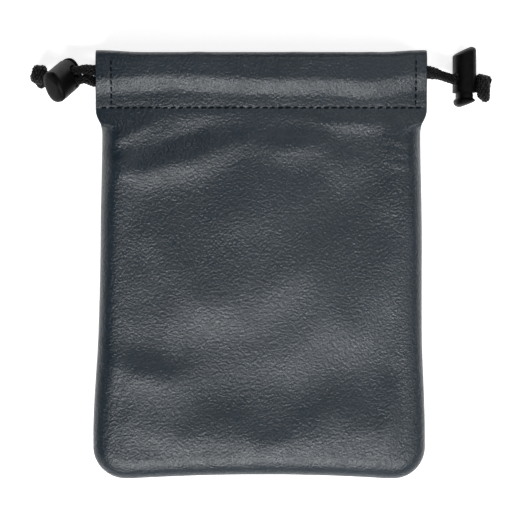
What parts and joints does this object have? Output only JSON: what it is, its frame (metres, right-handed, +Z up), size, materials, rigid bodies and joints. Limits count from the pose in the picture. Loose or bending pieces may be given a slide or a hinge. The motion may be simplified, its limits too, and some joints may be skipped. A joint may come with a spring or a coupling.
{
  "type": "drawstring dice bag",
  "caption": "Flat drawstring pouch of faux leather with round cords, sprung cord locks and knots, for carrying dice and small game pieces.",
  "frame": {"origin": "middle of the surface that the bag lies on, under the middle of the bag", "axes": "+X across the bag to its right-hand lock, +Y to the mouth, +Z up out of the front panel"},
  "size_m": [0.1676, 0.1563, 0.0238],
  "materials": {
    "faux_leather": "soft satin, fine grain",
    "thread": "matte",
    "cord": "braided, matte",
    "lock_plastic": "smooth satin",
    "spring_steel": "bright wire"
  },
  "bodies": {
    "root": {"back_panel": "faux_leather", "back_casing": "faux_leather", "back_casing_thread": "thread", "back_left_end_thread": "thread", "back_right_end_thread": "thread", "seam_thread": "thread", "back_cord": "cord", "left_front_strand": "cord", "left_back_strand": "cord", "right_front_strand": "cord", "right_back_strand": "cord", "left_knot": "cord", "right_knot": "cord"},
    "front": {"front_panel": "faux_leather", "front_casing": "faux_leather", "front_casing_thread": "thread", "front_left_end_thread": "thread", "front_right_end_thread": "thread", "front_cord": "cord"},
    "left_lock": {"left_lock_barrel": "lock_plastic", "left_lock_spring": "spring_steel"},
    "left_button": {"left_lock_button": "lock_plastic"},
    "right_lock": {"right_lock_barrel": "lock_plastic", "right_lock_spring": "spring_steel"},
    "right_button": {"right_lock_button": "lock_plastic"}
  },
  "joints": [
    {"name": "mouth_open", "type": "hinge", "parent": "root", "child": "front", "pos_m": [0, -0.0768, 0.0056], "axis": [1, 0, 0], "range_deg": [0, 8]},
    {"name": "left_lock_slide", "type": "slide", "parent": "root", "child": "left_lock", "axis": [0.9783, 0.1848, 0.0936], "range_m": [0, 0.0015]},
    {"name": "left_button_press", "type": "slide", "parent": "left_lock", "child": "left_button", "axis": [-0.3001, -0.3601, 0.8833], "range_m": [0, 0.0018], "stiffness_N_per_m": 300, "springref_m": -0.002, "deforming": ["left_lock_spring"]},
    {"name": "right_lock_slide", "type": "slide", "parent": "root", "child": "right_lock", "axis": [-0.9454, 0.28, 0.167], "range_m": [0, 0.005]},
    {"name": "right_button_press", "type": "slide", "parent": "right_lock", "child": "right_button", "axis": [0, 1, 0], "range_m": [0, 0.0018], "stiffness_N_per_m": 300, "springref_m": -0.002, "deforming": ["right_lock_spring"]}
  ]
}
